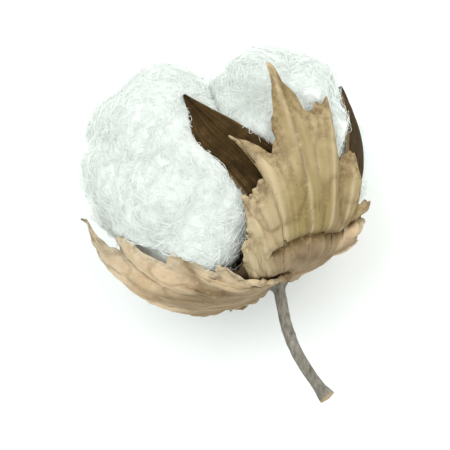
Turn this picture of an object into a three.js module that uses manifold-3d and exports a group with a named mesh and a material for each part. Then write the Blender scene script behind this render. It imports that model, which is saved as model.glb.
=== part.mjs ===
// An open, dry cotton boll with its own short stalk, as picked, lying on a table.
// Millimetres, +Z up. The boll is drawn upright in its own frame, with +Y running from the stalk
// to the tip and +Z towards the side that ends up on top. One group then lays it on the table.
// Four locks of lint stand in a burr of four woody valves; a calyx and three dry bracts sit below.
// An azimuth is counted in degrees round +Y, from +Z towards +X.

import * as THREE from "three";
import { mergeVertices } from "three/addons/utils/BufferGeometryUtils.js";
import Module from "manifold-3d";

// Driving dimensions of the whole boll
const LEAN = 20; // degrees that the tip leans to the left, seen from above
const DIP = 9; // degrees that the tip dips towards the table
const BASE = new THREE.Vector3(8, -7.1, 25.3); // where the burr meets the stalk, above the table
const GAP = 0.3; // clearance between two pieces that touch
const ROOM = 0.5; // how much a piece is grown to press its own shape into the lint

// Locks of lint: each is a soft mass with a tuft for each seed, pressed between its neighbours
const LOCK_MIDDLE = 19.5; // height of a lock's middle above the base
const TUFTS = 17;
const TUFT_RADIUS = 6.4;
const TUFT_SHELL = new THREE.Vector3(9, 11.4, 9); // how far across, up and out the tufts stand
const HEART = new THREE.Vector3(11.8, 14.4, 11.8); // half size of the mass that carries them
const PUFF = 0.95; // how sharply one tuft is set off from the next, per millimetre
const LOCKS = [
  { name: "lock_left", azimuth: -49, out: 14.2, swell: 1.07 },
  { name: "lock_front", azimuth: 46, out: 11.4, swell: 0.95 },
  { name: "lock_right", azimuth: 138, out: 13, swell: 0.99 },
  { name: "lock_back", azimuth: -141, out: 13.2, swell: 0.99 },
];

// Burr: woody pointed valves, one standing in each crease between two locks
const VALVE_HALF_WIDTH = 6.6;
const VALVE_TAPER = 5; // how late a valve narrows towards its tip
const VALVE_TIP_WIDTH = 0.3;
const VALVE_THICKNESS = 1.3;
const SEPTUM = 1.6; // height of the rib inside each valve
const SEPTUM_WIDTH = 0.16; // as a share of the valve's half width
const VALVE_FOOT = [2.2, 1.8]; // distance from the axis and height where a valve starts
const VALVE_BELLY = [
  [14, -1.0],
  [25, 7],
];
// twist: degrees that the tip swings round the boll; hold: how far beside it the lint is held back
const VALVES = [
  { azimuth: 33, twist: -47.5, tip: [19.5, 30.7], hold: 0.2 },
  { azimuth: 71, twist: 4, tip: [23, 25], hold: 4.0 },
  { azimuth: 177, twist: 6, tip: [16.5, 24], hold: 0.5 },
  { azimuth: -97, twist: -6, tip: [22.5, 28], hold: 0.5 },
];
const LINT_BACK = 8; // depth in front of a valve that the lint leaves free
const BOSS_RADIUS = 4.6; // solid middle of the burr, which joins the valves
const BOSS_TOP = 3.2;

// Calyx: a thin cup with five low lobes round the foot of the burr
const CALYX_WALL = 0.7;
const CALYX_LOBES = 5;
const CALYX_LOBE = [1.4, 1.1]; // how far a lobe reaches outwards and upwards
const CALYX_PROFILE = [
  [2.6, -1.6],
  [7.8, -1.5],
  [10.8, -0.6],
  [12.4, 0.6],
];

// Bracts: dry papery leaves with long teeth, folded along the veins that run to the teeth
const BRACT_THICKNESS = 0.7;
const BRACT_CLAW = 2.0; // length of the narrow foot
const TEETH = 7;
const TOOTH_DEPTH = [0.06, 0.2]; // share of a vein that the cut beside it takes, left and right
const PLEAT = 0.45; // height of the folds along the veins
const RUFFLE = 1.3; // how far the dry edge waves in and out
const SPUR_TOOTH = 2; // the tooth, counted from the left, that a bract's spur lengthens
const LIP = [0.5, 0.72]; // where across the leaf the right ear starts and ends its step outwards
// spread: degrees between the outer veins and the middle one; side: length of the outer veins as a
// share of the middle one; taper: how the veins between them shorten, left and right; spur: extra
// length of one narrow tooth as a share of the middle vein; ear: how far the right ear stands out
const BRACTS = [
  {
    name: "bract_front",
    azimuth: 26,
    foot: [0.6, -2.4],
    belly: [
      [15, -6],
      [27, 3],
    ],
    tip: [24.5, 30.5],
    spread: 40,
    side: 0.44,
    taper: [0.7, 1.05],
    spur: 0.085,
    ear: 2.4,
  },
  {
    name: "bract_left",
    azimuth: -74,
    foot: [0.6, -3.4],
    belly: [
      [15, -7.8],
      [27, 2],
    ],
    tip: [28.5, 17],
    spread: 44,
    side: 0.6,
    taper: [1.3, 1.1],
    spur: 0,
    ear: 0,
  },
  {
    name: "bract_right",
    azimuth: 132,
    foot: [0.6, -2.6],
    belly: [
      [12, -3.5],
      [22, 0],
    ],
    tip: [25, 14],
    spread: 38,
    side: 0.45,
    taper: [1, 1],
    spur: 0,
    ear: 0,
  },
];

// Stalk
const STALK_RADIUS = 1.0;
const STALK_ROUTE = [
  [0, -0.95, 0],
  [0, -4, 0],
  [-0.9, -10, 0.5],
  [-0.9, -17, 1.1],
  [1.4, -26, 0.9],
];
const RECEPTACLE_RADIUS = 2.2; // flared top of the stalk
const RECEPTACLE_LENGTH = 4.4;
const KNUCKLE = 0.45; // swelling at the end that broke off the plant

// Facets
const LOCK_FACETS = [34, 20];
const VALVE_FACETS = [8, 12];
const BRACT_FACETS = [TEETH * 4, 9];
const LATHE_FACETS = 40;
const STALK_FACETS = [8, 20];

const wasm = await Module();
wasm.setup();

const radians = THREE.MathUtils.degToRad;
const { clamp, euclideanModulo, lerp, smoothstep } = THREE.MathUtils;

// Smooth maximum of some lengths: follows the largest and rounds off where two are alike
function softMax(lengths, sharpness) {
  const most = Math.max(...lengths);
  const sum = lengths.reduce((total, x) => total + Math.exp(sharpness * (x - most)), 0);
  return most + Math.log(sum) / sharpness;
}

function softMin(a, b, sharpness) {
  return -softMax([-a, -b], sharpness);
}

// Moves every vertex of a geometry to the point that a function gives for it
function reshape(geometry, move) {
  const position = geometry.getAttribute("position");
  const point = new THREE.Vector3();
  for (let i = 0; i < position.count; i++) {
    const moved = move(point.fromBufferAttribute(position, i));
    position.setXYZ(i, moved.x, moved.y, moved.z);
  }
  return geometry;
}

// A closed geometry as a solid that can be joined and cut, and back
function solidOf(geometry) {
  const bare = geometry.clone();
  bare.deleteAttribute("normal");
  bare.deleteAttribute("uv");
  const merged = mergeVertices(bare);
  return new wasm.Manifold(
    new wasm.Mesh({
      numProp: 3,
      vertProperties: new Float32Array(merged.attributes.position.array),
      triVerts: new Uint32Array(merged.index.array),
    }),
  );
}

function geometryOf(solid) {
  const mesh = solid.getMesh();
  const geometry = new THREE.BufferGeometry();
  geometry.setAttribute("position", new THREE.BufferAttribute(mesh.vertProperties, 3));
  geometry.setIndex(new THREE.BufferAttribute(mesh.triVerts, 1));
  geometry.computeVertexNormals();
  return geometry;
}

// The largest body of a solid, so that a cut leaves no loose scrap
function largest(solid) {
  return solid.decompose().reduce((a, b) => (b.volume() > a.volume() ? b : a));
}

// A thin curved piece: surface(u, v) is its middle, u from foot to edge and v across from -1 to 1,
// and thickness(u, v) gives how far its inner and outer faces stand from that middle. A piece that
// is grown to make room for itself also reaches a little past its edges.
function sheet(surface, thickness, [across, along], extra) {
  const STEP = 1e-3;
  return reshape(new THREE.BoxGeometry(2, 1, 1, across, along, 1), ({ x, y, z: side }) => {
    const v = extra && Math.abs(x) === 1 ? 1.06 * x : x;
    const u = extra && y === 0.5 ? 1.03 : y + 0.5;
    const alongU = surface(u + STEP, v).sub(surface(u - STEP, v));
    const acrossV = surface(u, v + STEP).sub(surface(u, v - STEP));
    const outwards = acrossV.cross(alongU).normalize();
    const { inner, outer } = thickness(u, v);
    return surface(u, v).addScaledVector(outwards, side > 0 ? outer : -inner);
  });
}

// A curve in the plane of the axis, as points of (distance from the axis, height)
function meridian(foot, belly, tip) {
  return new THREE.CubicBezierCurve(
    ...[foot, ...belly, tip].map(([out, height]) => new THREE.Vector2(out, height)),
  );
}

// A point at a share of a curve's length, carried straight on past its ends
function pointAlong(curve, share) {
  const within = clamp(share, 0, 1);
  const past = (share - within) * curve.getLength();
  return curve.getPointAt(within).addScaledVector(curve.getTangentAt(within), past);
}

// A point that lies `aside` round the boll from its meridian, on an arc of the given radius
function wrapped({ x: out, y: height }, aside, radius) {
  const turn = aside / radius;
  return new THREE.Vector3(
    radius * Math.sin(turn),
    height,
    out - radius * (1 - Math.cos(turn)),
  );
}

// Directions spread evenly over a ball
function evenly(count) {
  const GOLDEN = Math.PI * (3 - Math.sqrt(5));
  return Array.from({ length: count }, (_, i) => {
    const rise = 1 - (2 * i + 1) / count;
    const flat = Math.sqrt(1 - rise * rise);
    return new THREE.Vector3(flat * Math.cos(GOLDEN * i), rise, flat * Math.sin(GOLDEN * i));
  });
}

// Lock of lint: how far a ray from its middle runs before it leaves the mass and its tufts
function lock(shape, leftEdge, rightEdge) {
  const middle = new THREE.Vector3(0, LOCK_MIDDLE, shape.out);
  const tufts = evenly(TUFTS).map((way, i) => ({
    centre: way.multiply(TUFT_SHELL),
    radius: TUFT_RADIUS + 0.6 * Math.sin(2.4 * i + shape.azimuth),
  }));
  const leaveTuft = (ray, { centre, radius }) => {
    const near = ray.dot(centre);
    const inside = near * near + radius * radius - centre.lengthSq();
    return inside > 0 ? near + Math.sqrt(inside) : 0;
  };
  const leaveHeart = (ray) => 1 / ray.clone().divide(HEART).length();
  // The neighbours' faces hold the lint inside the wedge between the two creases
  const press = (point) => {
    point.z = softMax([point.z, 1.5], 2);
    const edge = point.x > 0 ? rightEdge : leftEdge;
    const room = point.z * Math.tan(radians(edge)) - GAP;
    point.x = Math.sign(point.x) * softMin(Math.abs(point.x), room, 1.2);
    return point;
  };
  const ball = new THREE.SphereGeometry(1, ...LOCK_FACETS);
  return reshape(ball, (ray) => {
    const reach = softMax([leaveHeart(ray), ...tufts.map((tuft) => leaveTuft(ray, tuft))], PUFF);
    return press(ray.multiplyScalar(reach * shape.swell).add(middle));
  }).rotateY(radians(shape.azimuth));
}

// Valve of the burr: a boat-shaped pointed blade with a rib inside it. With some room in front it is
// the shape that holds back the lint, which is wider too.
function valve({ azimuth, twist, tip, hold }, extra = 0, front = 0) {
  const spine = meridian(VALVE_FOOT, VALVE_BELLY, tip);
  const halfWidth = (u) => {
    const taper = Math.max(1 - Math.abs(u) ** VALVE_TAPER, 0) ** 1.1;
    const foot = 0.35 + 0.65 * smoothstep(u, 0, 0.35);
    return VALVE_TIP_WIDTH + VALVE_HALF_WIDTH * taper * foot + (front > 0 ? hold : 0);
  };
  const surface = (u, v) => {
    const at = spine.getPoint(u);
    const point = wrapped(at, v * halfWidth(u), Math.max(at.x, 9));
    return point.applyAxisAngle(THREE.Object3D.DEFAULT_UP, radians(twist * u * u));
  };
  const thickness = (u, v) => {
    const blade = (VALVE_THICKNESS / 2) * (1 - 0.45 * u) + extra;
    const rib = SEPTUM * Math.exp(-((v / SEPTUM_WIDTH) ** 2)) * (1 - u);
    return { inner: blade + rib, outer: blade + front };
  };
  return sheet(surface, thickness, VALVE_FACETS, extra).rotateY(radians(azimuth));
}

// A turned piece from its profile of (distance from the axis, height)
function turned(profile) {
  return new THREE.LatheGeometry(
    profile.map(([out, height]) => new THREE.Vector2(out, height)),
    LATHE_FACETS,
  );
}

function burr(extra = 0, front = 0) {
  const low = VALVE_FOOT[1] - 2.1 - extra;
  const boss = turned([
    [0, low],
    [BOSS_RADIUS * 0.8 + extra, low],
    [BOSS_RADIUS + extra, low + 1],
    [BOSS_RADIUS * 0.8 + extra, BOSS_TOP + extra],
    [0, BOSS_TOP + 0.8 + extra],
  ]);
  return VALVES.reduce(
    (joined, shape) => joined.add(solidOf(valve(shape, extra, front))),
    solidOf(boss),
  );
}

function calyx(extra = 0) {
  const outside = CALYX_PROFILE.map(([out, height]) => [out + extra / 2, height - extra]);
  const inside = CALYX_PROFILE.map(([out, height]) => [
    out - 0.1 + extra / 2,
    height + CALYX_WALL + extra,
  ]).reverse();
  const [foot, rim] = [outside[0][0], outside.at(-1)[0]];
  const cup = turned([...outside, ...inside, outside[0]]);
  return reshape(cup, (point) => {
    const out = Math.hypot(point.x, point.z);
    const turn = Math.atan2(point.x, point.z);
    const lobe = ((out - foot) / (rim - foot)) ** 3 * Math.cos(CALYX_LOBES * turn);
    const wider = 1 + (CALYX_LOBE[0] * lobe) / out;
    return point.set(point.x * wider, point.y + CALYX_LOBE[1] * lobe, point.z * wider);
  });
}

// Bract: veins fan out from a narrow foot, and each ends in a tooth
function bract({ azimuth, foot, belly, tip, spread, side, taper, spur, ear }, extra = 0) {
  const spine = meridian(foot, belly, tip);
  const length = spine.getLength();
  // 0.5 on a vein, 0 or 1 halfway between two veins
  const toothAt = (v) => ((clamp(v, -1, 1) + 1) * TEETH) / 2;
  const beside = (v) => euclideanModulo(toothAt(v), 1);
  const veinLength = (v) => {
    const whole = lerp(1, side, Math.abs(v) ** (v < 0 ? taper[0] : taper[1]));
    const offVein = Math.abs(2 * beside(v) - 1);
    const cut = lerp(...TOOTH_DEPTH, (v + 1) / 2) * offVein ** 0.9;
    const point = Math.floor(toothAt(v)) === SPUR_TOOTH ? Math.max(0, 1 - offVein / 0.6) : 0;
    return length * (whole * (1 - cut) + spur * point);
  };
  const surface = (u, v) => {
    const away = lerp(BRACT_CLAW, veinLength(v), u);
    const fan = radians(spread * v);
    const at = pointAlong(spine, (away * Math.cos(fan)) / length);
    const fold = -PLEAT * Math.cos(2 * Math.PI * beside(v)) * smoothstep(u, 0, 0.5);
    const wave = RUFFLE * Math.sin(5.5 * v + azimuth) * u * u;
    const lip = ear * smoothstep(v, ...LIP) * smoothstep(u, 0.2, 0.75);
    at.x += fold + wave + lip;
    return wrapped(at, away * Math.sin(fan), Math.max(at.x, 12));
  };
  const half = BRACT_THICKNESS / 2 + extra;
  const thickness = () => ({ inner: half, outer: half });
  return sheet(surface, thickness, BRACT_FACETS, extra).rotateY(radians(azimuth));
}

// Stalk: a thin rod along its route, flared where it carries the boll and swollen where it broke off
function stalk() {
  const route = new THREE.CatmullRomCurve3(STALK_ROUTE.map((point) => new THREE.Vector3(...point)));
  const whole = route.getLength();
  const radiusAt = (run) => {
    const flare = 1 - smoothstep(run, 0, RECEPTACLE_LENGTH);
    const knuckle = smoothstep(run, whole - 3, whole);
    return lerp(STALK_RADIUS, RECEPTACLE_RADIUS, flare) + KNUCKLE * knuckle;
  };
  const rod = new THREE.CylinderGeometry(1, 1, 1, ...STALK_FACETS);
  return reshape(rod, ({ x, y, z }) => {
    const share = 0.5 - y;
    const along = route.getTangentAt(share);
    const sideways = new THREE.Vector3(1, 0, 0).addScaledVector(along, -along.x).normalize();
    const third = along.clone().cross(sideways);
    const radius = radiusAt(share * whole);
    return route
      .getPointAt(share)
      .addScaledVector(sideways, x * radius)
      .addScaledVector(third, z * radius);
  });
}

// Materials, from the photographed colours
const matte = (colour, roughness) =>
  new THREE.MeshStandardMaterial({ color: colour, roughness, metalness: 0 });
const LINT = matte(0xf4f3ee, 1.0);
const BURR = matte(0x4a3524, 0.7);
const BRACT = matte(0xc2a478, 0.85);
const CALYX = matte(0xa98a5e, 0.85);
const STALK = matte(0x6f5a3e, 0.8);

// Assembly: the upright boll is leaned, dipped and set on the table
const boll = new THREE.Group();
boll.rotation.set(radians(-DIP), 0, radians(LEAN));
boll.position.copy(BASE);
boll.updateMatrix();

function add(name, geometry, material) {
  const mesh = new THREE.Mesh(geometry, material);
  mesh.name = name;
  boll.add(mesh);
}

add("stalk", stalk(), STALK);
add("calyx", geometryOf(largest(solidOf(calyx()).subtract(burr(GAP)))), CALYX);
add("burr", geometryOf(burr()), BURR);
BRACTS.forEach((shape) => add(shape.name, bract(shape), BRACT));

// What the lint is pressed against: the burr, the bracts and the table under the boll
const aroundLint = BRACTS.reduce(
  (joined, shape) => joined.add(solidOf(bract(shape, ROOM))),
  burr(ROOM, LINT_BACK).add(solidOf(calyx(ROOM))),
);
const table = new THREE.Plane(new THREE.Vector3(0, 0, 1), 0);
table.applyMatrix4(boll.matrix.clone().invert());

LOCKS.forEach((shape, i) => {
  const turnTo = (other) => Math.abs(((other.azimuth - shape.azimuth + 540) % 360) - 180) / 2;
  const right = turnTo(LOCKS[(i + 1) % LOCKS.length]);
  const left = turnTo(LOCKS[(i + LOCKS.length - 1) % LOCKS.length]);
  const pressed = solidOf(lock(shape, left, right))
    .subtract(aroundLint)
    .trimByPlane(table.normal.toArray(), -table.constant);
  add(shape.name, geometryOf(largest(pressed)), LINT);
});

const root = new THREE.Group();
root.add(boll);
export default root;
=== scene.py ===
# %% [markdown]
# # An open cotton boll, lying on a pale table
# A ripe boll dries, splits and lets its lint swell out. What is left is a woody burr of four pointed
# valves, four white locks of lint, a thin calyx, three papery bracts and a stalk. The packed solids
# give every piece its place. Here each one is worked out again as a fine surface and gets its finish.

import bpy
import numpy as np
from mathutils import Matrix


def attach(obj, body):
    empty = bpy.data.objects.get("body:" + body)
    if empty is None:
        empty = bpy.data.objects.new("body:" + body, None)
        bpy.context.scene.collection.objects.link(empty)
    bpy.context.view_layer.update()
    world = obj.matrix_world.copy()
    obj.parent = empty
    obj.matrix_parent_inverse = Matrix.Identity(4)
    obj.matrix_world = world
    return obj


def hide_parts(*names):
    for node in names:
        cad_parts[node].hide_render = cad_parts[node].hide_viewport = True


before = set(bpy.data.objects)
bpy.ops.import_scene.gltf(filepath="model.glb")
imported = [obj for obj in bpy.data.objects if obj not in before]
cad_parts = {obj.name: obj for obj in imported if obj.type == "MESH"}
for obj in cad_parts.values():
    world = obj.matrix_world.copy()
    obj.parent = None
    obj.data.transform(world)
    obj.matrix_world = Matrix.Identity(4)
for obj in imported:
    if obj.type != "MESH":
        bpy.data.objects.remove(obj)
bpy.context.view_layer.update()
print("nodes in the frame:", sorted(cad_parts))

# %% [markdown]
# ## Camera
# The boll lies down, so the camera looks straight down on it and the picture's upward direction is +Y.
# A wide lens would swell the nearest lock. A long lens from far away keeps the boll's own proportions.

# %% Camera
SENSOR_MM = 36.0
VIEW_HEIGHT = 0.080  # metres that the square picture spans at the boll's middle
CAMERA_DISTANCE = 0.9
NEAREST_SEEN = 0.01
BOLL_MIDDLE = (0.0, 0.0, 0.026)  # metres above the table

camera = bpy.data.objects.new("camera", bpy.data.cameras.new("camera"))
camera.data.sensor_width = SENSOR_MM
camera.data.lens = SENSOR_MM * CAMERA_DISTANCE / VIEW_HEIGHT
camera.data.clip_start = NEAREST_SEEN
camera.location = (BOLL_MIDDLE[0], BOLL_MIDDLE[1], BOLL_MIDDLE[2] + CAMERA_DISTANCE)
bpy.context.collection.objects.link(camera)
bpy.context.scene.camera = camera
print("lens in mm:", round(camera.data.lens))

# %% [markdown]
# ## The boll's own frame
# The boll is drawn upright in millimetres: +Y runs from stalk to tip and +Z faces the side that ends
# up on top. One turn and one shift then lay it on the table, the same that lay the solids there.

# %% Laying the boll down
LEAN, DIP = np.radians(20), np.radians(9)
BASE = np.array([8.0, -7.1, 25.3])  # where the burr meets the stalk, in mm of the table's frame

lean_turn = np.array([
    [np.cos(LEAN), -np.sin(LEAN), 0],
    [np.sin(LEAN), np.cos(LEAN), 0],
    [0, 0, 1],
])
dip_turn = np.array([
    [1, 0, 0],
    [0, np.cos(DIP), np.sin(DIP)],
    [0, -np.sin(DIP), np.cos(DIP)],
])
LAY = dip_turn @ lean_turn


def lay_down(points):
    """Turns points of the upright boll by the lean, then by the dip, and shifts them to the base."""
    return points @ LAY.T + BASE


def turn_round(points, degrees):
    """Turns points about the boll's axis: x' = x cos a + z sin a, z' = z cos a - x sin a."""
    turn = np.radians(degrees)
    x, y, z = np.moveaxis(points, -1, 0)
    return np.stack(
        [x * np.cos(turn) + z * np.sin(turn), y, z * np.cos(turn) - x * np.sin(turn)], axis=-1
    )


print("tip direction on the table:", np.round(LAY @ np.array([0, 1, 0]), 2))

# %% [markdown]
# ## Valves as a formula
# A valve is one quarter of the dry fruit wall: a blade that bends out from the foot, round the lint, to
# a point. The lint swells against the inner faces of valves and bracts, so their formulas come before
# the lint, which reads from them how far out it may go. A curve drawn by four corners gives the bend,
# and powers of the way along it give the width.

# %% Formula of a valve
VALVE_FOOT = [2.2, 1.8]
VALVE_BELLY = [[14, -1.0], [25, 7]]
VALVE_HALF_WIDTH, VALVE_TIP_WIDTH, VALVE_TAPER = 6.6, 0.3, (5, 1.1)
VALVE_FOOT_SHARE, VALVE_SHOULDER = 0.35, 0.35  # width at the foot, and where the full width is reached
FLARE_AT, FLARE_SPAN = 0.895, 0.08  # shares of the length
VALVES = [
    {"azimuth": 33, "twist": -47.5, "tip": [19.5, 30.7], "hold": 1.2, "flare": 0.6},
    {"azimuth": 71, "twist": 4, "tip": [23, 25], "hold": 4.0, "flare": 0.0},
    {"azimuth": 177, "twist": 6, "tip": [16.5, 24], "hold": 0.5, "flare": 0.0},
    {"azimuth": -97, "twist": -6, "tip": [22.5, 28], "hold": 0.5, "flare": 0.0},
]  # degrees round the axis and of twist, mm out and up, mm that lint is held beside the blade, flare


def soft_step(x, low, high):
    """Rises from 0 at low to 1 at high along 3t^2 - 2t^3."""
    t = np.clip((x - low) / (high - low), 0, 1)
    return t * t * (3 - 2 * t)


def hill(x, width):
    """1 at x = 0, falling on both sides as exp(-(x / width)^2)."""
    return np.exp(-((x / width) ** 2))


def bezier(corners, t):
    """Cubic curve from the first corner to the last, drawn towards the two between them."""
    a, b, c, d = np.asarray(corners, float)
    t = np.asarray(t)[..., None]
    return a * (1 - t) ** 3 + 3 * b * t * (1 - t) ** 2 + 3 * c * t**2 * (1 - t) + d * t**3


def valve_half_width(u, side, valve):
    """Widens over the first third, narrows as (1 - u^5)^1.1, and its left side flares below the tip."""
    widen = VALVE_FOOT_SHARE + (1 - VALVE_FOOT_SHARE) * soft_step(u, 0, VALVE_SHOULDER)
    taper = np.maximum(1 - np.abs(u) ** VALVE_TAPER[0], 0) ** VALVE_TAPER[1] * widen
    flare = 1 + valve["flare"] * hill(u - FLARE_AT, FLARE_SPAN) * (side < 0)
    return VALVE_TIP_WIDTH + VALVE_HALF_WIDTH * taper * flare


def valve_spine(valve, u):
    """Distance from the axis and height of the middle line, a cubic curve with u from foot to tip."""
    return np.moveaxis(bezier([VALVE_FOOT, *VALVE_BELLY, valve["tip"]], u), -1, 0)


print("valve tips, mm out and up:", [valve["tip"] for valve in VALVES])

# %% [markdown]
# ## Bracts as a formula
# A bract is a small leaf below the fruit: straight veins fan out from its foot, and each ends in a
# tooth. Teeth could be cut out of a sheet, but then the veins would not lead into them. So v numbers the
# veins, from -1 at the left edge to 1 at the right, and the edge is a length along each vein.

# %% Formula of a bract
BRACT_CLAW = 1.2  # distance from the foot at which the veins begin
TEETH, TOOTH_DEPTH, TOOTH_POWER = 7, (0.08, 0.2), 0.9  # depth as a share of the length, left and right
SPUR_TOOTH, SPUR_WIDTH, SPUR_POWER = 2, 0.3, 0.6  # which tooth, from the left, is the narrow spur
SPINE_STEPS = 400
# Azimuth and spread, half the fan, are in degrees. Foot, belly and tip are mm out from the axis and up.
# Side is the share of the length that is left at the edges. Taper is the power that leads there, and base
# how much wider the fan is at the foot, both on the left and on the right. Spur is the share of the length
# that the spur adds, ear the mm by which the right side lifts. Crumple and fold say how strong they are.
BRACTS = {
    "bract_front": {
        "azimuth": 26, "foot": [0.6, -2.4], "belly": [[15, -6], [27, 3]], "tip": [24.5, 30.5],
        "spread": 40, "side": 0.44, "taper": (0.7, 1.05), "base": (1.05, 0.2),
        "spur": 0.155, "ear": 2.4, "crumple": 1.0, "fold": 1.0,
    },
    "bract_left": {
        "azimuth": -74, "foot": [0.6, -3.4], "belly": [[15, -7.8], [27, 2]], "tip": [28.5, 17],
        "spread": 44, "side": 0.6, "taper": (1.3, 1.1), "base": (1.1, 1.9),
        "spur": 0.0, "ear": 0.0, "crumple": 2.0, "fold": 0.0,
    },
    "bract_right": {
        "azimuth": 132, "foot": [0.6, -2.6], "belly": [[12, -3.5], [22, 0]], "tip": [25, 14],
        "spread": 38, "side": 0.45, "taper": (1.0, 1.0), "base": (0.2, 0.2),
        "spur": 0.0, "ear": 0.0, "crumple": 1.5, "fold": 0.0,
    },
}


def bract_spine(bract):
    """Run, distance from the axis and height along the bract's middle line, a cubic curve."""
    line = bezier([bract["foot"], *bract["belly"], bract["tip"]], np.linspace(0, 1, SPINE_STEPS))
    run = np.concatenate([[0], np.cumsum(np.linalg.norm(np.diff(line, axis=0), axis=1))])
    return run, line[:, 0], line[:, 1]


for name, bract in BRACTS.items():
    print(name, "is", round(bract_spine(bract)[0][-1], 1), "mm long")

# %% Veins and teeth
def beside_vein(v):
    """0.5 on a vein, 0 or 1 halfway between two veins."""
    return np.mod((v + 1) * TEETH / 2, 1)


def off_vein(v):
    """0 on a vein, 1 halfway between two veins."""
    return np.abs(2 * beside_vein(v) - 1)


def side_share(v, bract):
    """Share of the full length that a vein has: falls to the side's share as a power of v."""
    taper = np.where(v < 0, *bract["taper"])
    return 1 - (1 - bract["side"]) * np.abs(v) ** taper


def is_spur(v, bract):
    """True on the one tooth that is drawn out into a spur, where the bract has one."""
    return (np.floor((v + 1) * TEETH / 2) == SPUR_TOOTH) & (bract["spur"] > 0)


def spur_strip(v, bract):
    """1 along the spur's vein, falling to 0 at 0.3 of the way to the gap beside it."""
    return np.maximum(1 - off_vein(v) / SPUR_WIDTH, 0) ** SPUR_POWER * is_spur(v, bract)


def vein_length(v, length, bract):
    """Length from foot to edge: shorter towards the sides, cut in between teeth, longer on the spur."""
    cut_in = np.where(is_spur(v, bract), 1, off_vein(v)) ** TOOTH_POWER
    depth = np.interp(v, (-1, 1), TOOTH_DEPTH)
    return length * (side_share(v, bract) * (1 - depth * cut_in) + bract["spur"] * spur_strip(v, bract))


front_veins = vein_length(np.linspace(-1, 1, TEETH), 1.0, BRACTS["bract_front"])
print("veins of the front bract, as shares of its length:", np.round(front_veins, 2))

# %% [markdown]
# ## A ball as a grid
# Lint swells to all sides of its lock, so its surface begins as a ball. An icosphere has more even faces,
# but rings and columns lie in order in the arrays, so faces, normals and neighbours are found by counting.

# %% Rays and faces of a ball
LOCK_GRID = (112, 208)  # rows from pole to pole and columns round


def unit(vectors):
    """Vectors brought to length 1."""
    return vectors / np.maximum(np.linalg.norm(vectors, axis=-1, keepdims=True), 1e-9)


def ball_rays(rows, columns):
    """Directions on a grid of polar and round angles, with one point for each pole."""
    polar = np.linspace(0, np.pi, rows + 1)[1:-1, None]
    round_it = np.linspace(0, 2 * np.pi, columns, endpoint=False)[None]
    flat = np.sin(polar)
    rings = [flat * np.cos(round_it), np.cos(polar) + 0 * round_it, flat * np.sin(round_it)]
    return np.concatenate([[[0, 1, 0]], np.stack(rings, axis=-1).reshape(-1, 3), [[0, -1, 0]]])


def grid_faces(rows, columns, wrap=False, loop=False):
    """Four-cornered faces of a grid; wrap joins the last column to the first, loop the last row."""
    index = np.arange(rows * columns).reshape(rows, columns)
    if wrap:
        index = np.concatenate([index, index[:, :1]], axis=1)
    if loop:
        index = np.concatenate([index, index[:1]])
    near, far = index[:-1], index[1:]
    return np.stack([near[:, :-1], near[:, 1:], far[:, 1:], far[:, :-1]], axis=-1).reshape(-1, 4)


def ball_faces(rows, columns):
    """Four-cornered faces between the rings and a fan of triangles at each pole."""
    rings = rows - 1
    last = rings * columns + 1
    first_ring = np.arange(columns) + 1
    last_ring = first_ring + (rings - 1) * columns
    quads = grid_faces(rings, columns, wrap=True) + 1
    top = np.stack([np.zeros(columns, int), np.roll(first_ring, -1), first_ring], axis=-1)
    low = np.stack([np.full(columns, last), last_ring, np.roll(last_ring, -1)], axis=-1)
    return quads, np.concatenate([top, low])


def surface_normals(points, faces):
    """Outward direction of the faces round each point, each the cross product of a face's diagonals."""
    corners = points[faces]
    across = np.cross(corners[:, 2] - corners[:, 0], corners[:, 3] - corners[:, 1])
    normals = np.zeros_like(points)
    for k in range(4):
        np.add.at(normals, faces[:, k], across)
    normals *= np.sign(np.sum(normals * (points - points.mean(0))))
    return unit(normals)


print("rays in a lock:", len(ball_rays(*LOCK_GRID)))

# %% [markdown]
# ## Noise
# Wool, wrinkles, crumples and warts all need an uneven height. Blender's own noise lives in materials and
# modifiers. This one is worked out for whole arrays, so it can move the points themselves and be
# exported with them.

# %% Noise and wool
MIXERS = np.array([73856093, 19349663, 83492791])  # large primes that scatter a lattice corner's numbers
SEED_MIXER, SCRAMBLER, LOW_BITS, WORD = 40503, 1274126177, 0x7FFFFFFF, 0xFFFF
SEED_SHIFT = 31.7  # cells that each seed moves the lattice by
WOOL = [(5.0, 0.55, 3), (2.4, 0.34, 5)]  # size in mm, height in mm and seed of folded noise
FLUFF = [(1.2, 0.16, 7), (0.6, 0.08, 9)]  # the same for finer, plain noise


def grain(points, size, seed):
    """Noise from -1 to 1: random values on a lattice of that size, blended between its corners."""
    cell = points / size + SEED_SHIFT * seed
    corner = np.floor(cell).astype(np.int64)
    t = cell - corner
    t = t * t * (3 - 2 * t)
    total = np.zeros(points.shape[:-1])
    for step in np.ndindex(2, 2, 2):
        mixed = np.bitwise_xor.reduce((corner + step) * MIXERS, axis=-1) ^ (seed * SEED_MIXER)
        mixed = ((mixed ^ (mixed >> 13)) * SCRAMBLER) & LOW_BITS
        value = 2 * ((mixed >> 7) & WORD) / WORD - 1
        total += value * np.prod(np.where(step, t, 1 - t), axis=-1)
    return total


def grains(points, layers):
    """Sum of several noises, each with its own size, height and seed."""
    return sum(height * grain(points, size, seed) for size, height, seed in layers)


def woolly(points):
    """Noise folded at zero and turned over, so narrow ridges run between soft hollows, plus plain noise."""
    ridges = sum(height * (0.5 - np.abs(grain(points, size, seed))) for size, height, seed in WOOL)
    return ridges + grains(points, FLUFF)


print("wool has relief of", [size for size, height, seed in WOOL + FLUFF], "mm")

# %% [markdown]
# ## Pressing things under the blades
# Valves and bracts hold the lint back. Collision or a shrinkwrap would do it too, but the blades are
# known as formulas: at a point's height each gives the distance from the axis at which it stands and how
# far aside it reaches, so a point that it covers is moved in to lie behind it.

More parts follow.
